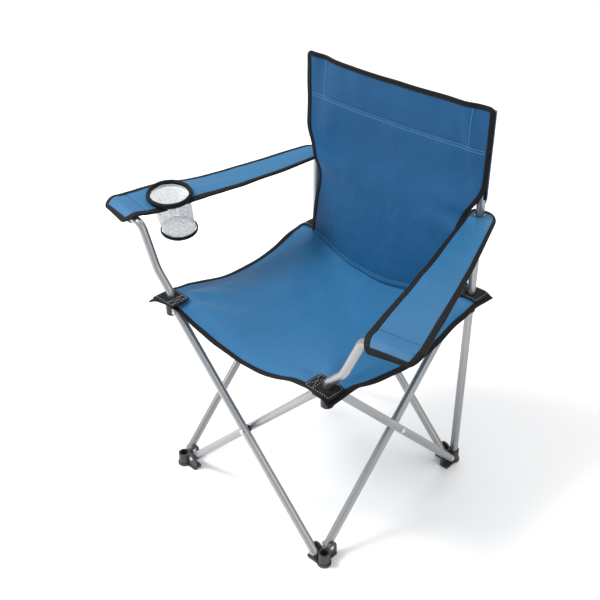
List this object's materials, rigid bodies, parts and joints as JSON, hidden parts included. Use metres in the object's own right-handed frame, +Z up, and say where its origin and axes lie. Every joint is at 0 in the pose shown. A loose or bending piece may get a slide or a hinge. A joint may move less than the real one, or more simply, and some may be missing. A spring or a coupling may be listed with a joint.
{
  "type": "folding camp chair",
  "caption": "Folding camp chair with a crossed-leg steel tube frame, a slung cloth seat and back, cloth armrests and a mesh cup holder in the left armrest.",
  "frame": {"origin": "on the floor under the middle of the open chair", "axes": "+Z up, -Y to the front of the seat, +X to the side of the plain armrest"},
  "size_m": [0.75, 0.454, 0.781],
  "materials": {
    "frame_tube": "silver-grey powder coat, satin",
    "post_tube": "silver-grey powder coat, satin",
    "rivet_steel": "plain",
    "spacer_plastic": "matte",
    "foot_plastic": "matte, fine texture",
    "hub_plastic": "matte, fine texture",
    "patch_webbing": "coarse woven",
    "binding_tape": "ribbed tape",
    "cup_ring_tape": "ribbed tape over a hoop",
    "cup_hoop_tape": "ribbed tape",
    "seat_cloth": "coated polyester, slight sheen",
    "back_cloth": "coated polyester, slight sheen",
    "armrest_cloth": "coated polyester, slight sheen",
    "cup_mesh": "open knitted mesh"
  },
  "bodies": {
    "rear_right_foot_and_post": {"foot_rear_right": "foot_plastic", "foot_pins_rear_right": "rivet_steel", "rear_post_right": "post_tube", "back_panel": "back_cloth", "back_binding": "binding_tape", "back_sleeve_right": "back_cloth"},
    "rear_left_foot_and_post": {"foot_rear_left": "foot_plastic", "foot_pins_rear_left": "rivet_steel", "rear_post_left": "post_tube", "back_sleeve_left": "back_cloth"},
    "front_left_foot": {"foot_front_left": "foot_plastic", "foot_pins_front_left": "rivet_steel"},
    "front_right_foot": {"foot_front_right": "foot_plastic", "foot_pins_front_right": "rivet_steel"},
    "rear_right_hub": {"hub_rear_right": "hub_plastic", "hub_pins_rear_right": "rivet_steel", "corner_patch_rear_right": "patch_webbing"},
    "rear_left_hub": {"hub_rear_left": "hub_plastic", "hub_pins_rear_left": "rivet_steel", "corner_patch_rear_left": "patch_webbing"},
    "front_left_hub_and_arm_post": {"hub_front_left": "hub_plastic", "hub_pins_front_left": "rivet_steel", "arm_post_left": "post_tube", "corner_patch_front_left": "patch_webbing"},
    "front_right_hub_and_arm_post": {"hub_front_right": "hub_plastic", "hub_pins_front_right": "rivet_steel", "arm_post_right": "post_tube", "corner_patch_front_right": "patch_webbing"},
    "seat_rear_half": {"seat_rear": "seat_cloth", "seat_rear_binding": "binding_tape"},
    "seat_front_half": {"seat_front": "seat_cloth", "seat_front_binding": "binding_tape"},
    "right_armrest": {"armrest_right": "armrest_cloth", "armrest_right_binding": "binding_tape", "arm_sleeve_right": "armrest_cloth"},
    "left_armrest": {"armrest_left": "armrest_cloth", "armrest_left_binding": "binding_tape", "arm_sleeve_left": "armrest_cloth", "cup_ring": "cup_ring_tape", "cup_pocket": "cup_mesh", "cup_hoop": "cup_hoop_tape"},
    "right_outer_leg": {"leg_right_outer": "frame_tube", "cross_rivet_right": "rivet_steel", "cross_spacer_right": "spacer_plastic"},
    "right_inner_leg": {"leg_right_inner": "frame_tube"},
    "rear_outer_leg": {"leg_rear_outer": "frame_tube", "cross_rivet_rear": "rivet_steel", "cross_spacer_rear": "spacer_plastic"},
    "rear_inner_leg": {"leg_rear_inner": "frame_tube"},
    "left_outer_leg": {"leg_left_outer": "frame_tube", "cross_rivet_left": "rivet_steel", "cross_spacer_left": "spacer_plastic"},
    "left_inner_leg": {"leg_left_inner": "frame_tube"},
    "front_outer_leg": {"leg_front_outer": "frame_tube", "cross_rivet_front": "rivet_steel", "cross_spacer_front": "spacer_plastic"},
    "front_inner_leg": {"leg_front_inner": "frame_tube"}
  },
  "joints": [
    {"name": "fold", "type": "hinge", "parent": "rear_right_foot_and_post", "child": "rear_inner_leg", "pos_m": [0.1755, 0.1845, 0.022], "axis": [0, 1, 0], "range_deg": [0, 35.9], "deforming": ["back_panel", "back_binding"]},
    {"name": "right_leg_at_rear_foot", "type": "hinge", "parent": "rear_right_foot_and_post", "child": "right_outer_leg", "pos_m": [0.2025, 0.1755, 0.022], "axis": [-1, 0, 0], "range_deg": [0, 35.92]},
    {"name": "rear_legs_crossing", "type": "hinge", "parent": "rear_inner_leg", "child": "rear_outer_leg", "pos_m": [0, 0.1935, 0.20475], "axis": [0, 1, 0], "range_deg": [-71.84, 0]},
    {"name": "right_legs_crossing", "type": "hinge", "parent": "right_outer_leg", "child": "right_inner_leg", "pos_m": [0.1935, 0, 0.20475], "axis": [-1, 0, 0], "range_deg": [-71.84, 0]},
    {"name": "rear_left_foot_pivot", "type": "hinge", "parent": "rear_outer_leg", "child": "rear_left_foot_and_post", "pos_m": [-0.1755, 0.2025, 0.022], "axis": [0, 1, 0], "range_deg": [0, 35.92]},
    {"name": "front_right_foot_pivot", "type": "hinge", "parent": "right_inner_leg", "child": "front_right_foot", "pos_m": [0.1845, -0.1755, 0.022], "axis": [-1, 0, 0], "range_deg": [0, 35.92]},
    {"name": "rear_left_hub_pivot", "type": "hinge", "parent": "rear_inner_leg", "child": "rear_left_hub", "pos_m": [-0.1755, 0.1845, 0.3875], "axis": [0, 1, 0], "range_deg": [-35.92, 0]},
    {"name": "front_right_hub_pivot", "type": "hinge", "parent": "right_outer_leg", "child": "front_right_hub_and_arm_post", "pos_m": [0.2025, -0.1755, 0.3875], "axis": [-1, 0, 0], "range_deg": [-35.92, 0]},
    {"name": "rear_right_hub_pivot", "type": "hinge", "parent": "right_inner_leg", "child": "rear_right_hub", "pos_m": [0.1845, 0.1755, 0.3875], "axis": [-1, 0, 0], "range_deg": [0, 35.92]},
    {"name": "left_leg_at_rear_foot", "type": "hinge", "parent": "rear_left_foot_and_post", "child": "left_inner_leg", "pos_m": [-0.1845, 0.1755, 0.022], "axis": [-1, 0, 0], "range_deg": [0, 35.92]},
    {"name": "left_legs_crossing", "type": "hinge", "parent": "left_inner_leg", "child": "left_outer_leg", "pos_m": [-0.1935, 0, 0.20475], "axis": [-1, 0, 0], "range_deg": [-71.84, 0]},
    {"name": "front_left_foot_pivot", "type": "hinge", "parent": "left_outer_leg", "child": "front_left_foot", "pos_m": [-0.2025, -0.1755, 0.022], "axis": [-1, 0, 0], "range_deg": [0, 35.92]},
    {"name": "front_left_hub_pivot", "type": "hinge", "parent": "left_inner_leg", "child": "front_left_hub_and_arm_post", "pos_m": [-0.1845, -0.1755, 0.3875], "axis": [-1, 0, 0], "range_deg": [-35.92, 0]},
    {"name": "front_leg_at_right_foot", "type": "hinge", "parent": "front_right_foot", "child": "front_outer_leg", "pos_m": [0.1755, -0.2025, 0.022], "axis": [0, 1, 0], "range_deg": [0, 35.92]},
    {"name": "front_legs_crossing", "type": "hinge", "parent": "front_outer_leg", "child": "front_inner_leg", "pos_m": [0, -0.1935, 0.20475], "axis": [0, 1, 0], "range_deg": [-71.84, 0]},
    {"name": "seat_rear_hinge", "type": "hinge", "parent": "rear_right_hub", "child": "seat_rear_half", "pos_m": [0, 0.197, 0.4045], "axis": [1, 0, 0], "range_deg": [0, 73.37], "deforming": ["seat_rear", "seat_rear_binding"]},
    {"name": "seat_middle_fold", "type": "hinge", "parent": "seat_rear_half", "child": "seat_front_half", "pos_m": [0, 0, 0.4045], "axis": [1, 0, 0], "range_deg": [-146.74, 0], "deforming": ["seat_front", "seat_front_binding"]},
    {"name": "right_armrest_swing", "type": "hinge", "parent": "front_right_hub_and_arm_post", "child": "right_armrest", "pos_m": [0.307, -0.197, 0.5362], "axis": [1, 0, 0], "range_deg": [-46.53, 0], "deforming": ["armrest_right", "armrest_right_binding"]},
    {"name": "left_armrest_swing", "type": "hinge", "parent": "front_left_hub_and_arm_post", "child": "left_armrest", "pos_m": [-0.307, -0.197, 0.5362], "axis": [1, 0, 0], "range_deg": [-46.53, 0], "deforming": ["armrest_left", "armrest_left_binding", "cup_ring", "cup_pocket", "cup_hoop"]}
  ],
  "couplings": [
    {"joint": "right_leg_at_rear_foot", "follows": "fold", "ratio": 1},
    {"joint": "rear_legs_crossing", "follows": "fold", "ratio": -2},
    {"joint": "right_legs_crossing", "follows": "fold", "ratio": -2},
    {"joint": "rear_left_foot_pivot", "follows": "fold", "ratio": 1},
    {"joint": "front_right_foot_pivot", "follows": "fold", "ratio": 1},
    {"joint": "rear_left_hub_pivot", "follows": "fold", "ratio": -1},
    {"joint": "front_right_hub_pivot", "follows": "fold", "ratio": -1},
    {"joint": "rear_right_hub_pivot", "follows": "fold", "ratio": 1},
    {"joint": "left_leg_at_rear_foot", "follows": "fold", "ratio": 1},
    {"joint": "left_legs_crossing", "follows": "fold", "ratio": -2},
    {"joint": "front_left_foot_pivot", "follows": "fold", "ratio": 1},
    {"joint": "front_left_hub_pivot", "follows": "fold", "ratio": -1},
    {"joint": "front_leg_at_right_foot", "follows": "fold", "ratio": 1},
    {"joint": "front_legs_crossing", "follows": "fold", "ratio": -2},
    {"joint": "seat_rear_hinge", "follows": "fold", "ratio": 2.0427},
    {"joint": "seat_middle_fold", "follows": "fold", "ratio": -4.0854},
    {"joint": "right_armrest_swing", "follows": "fold", "ratio": -1.2956},
    {"joint": "left_armrest_swing", "follows": "fold", "ratio": -1.2956}
  ]
}
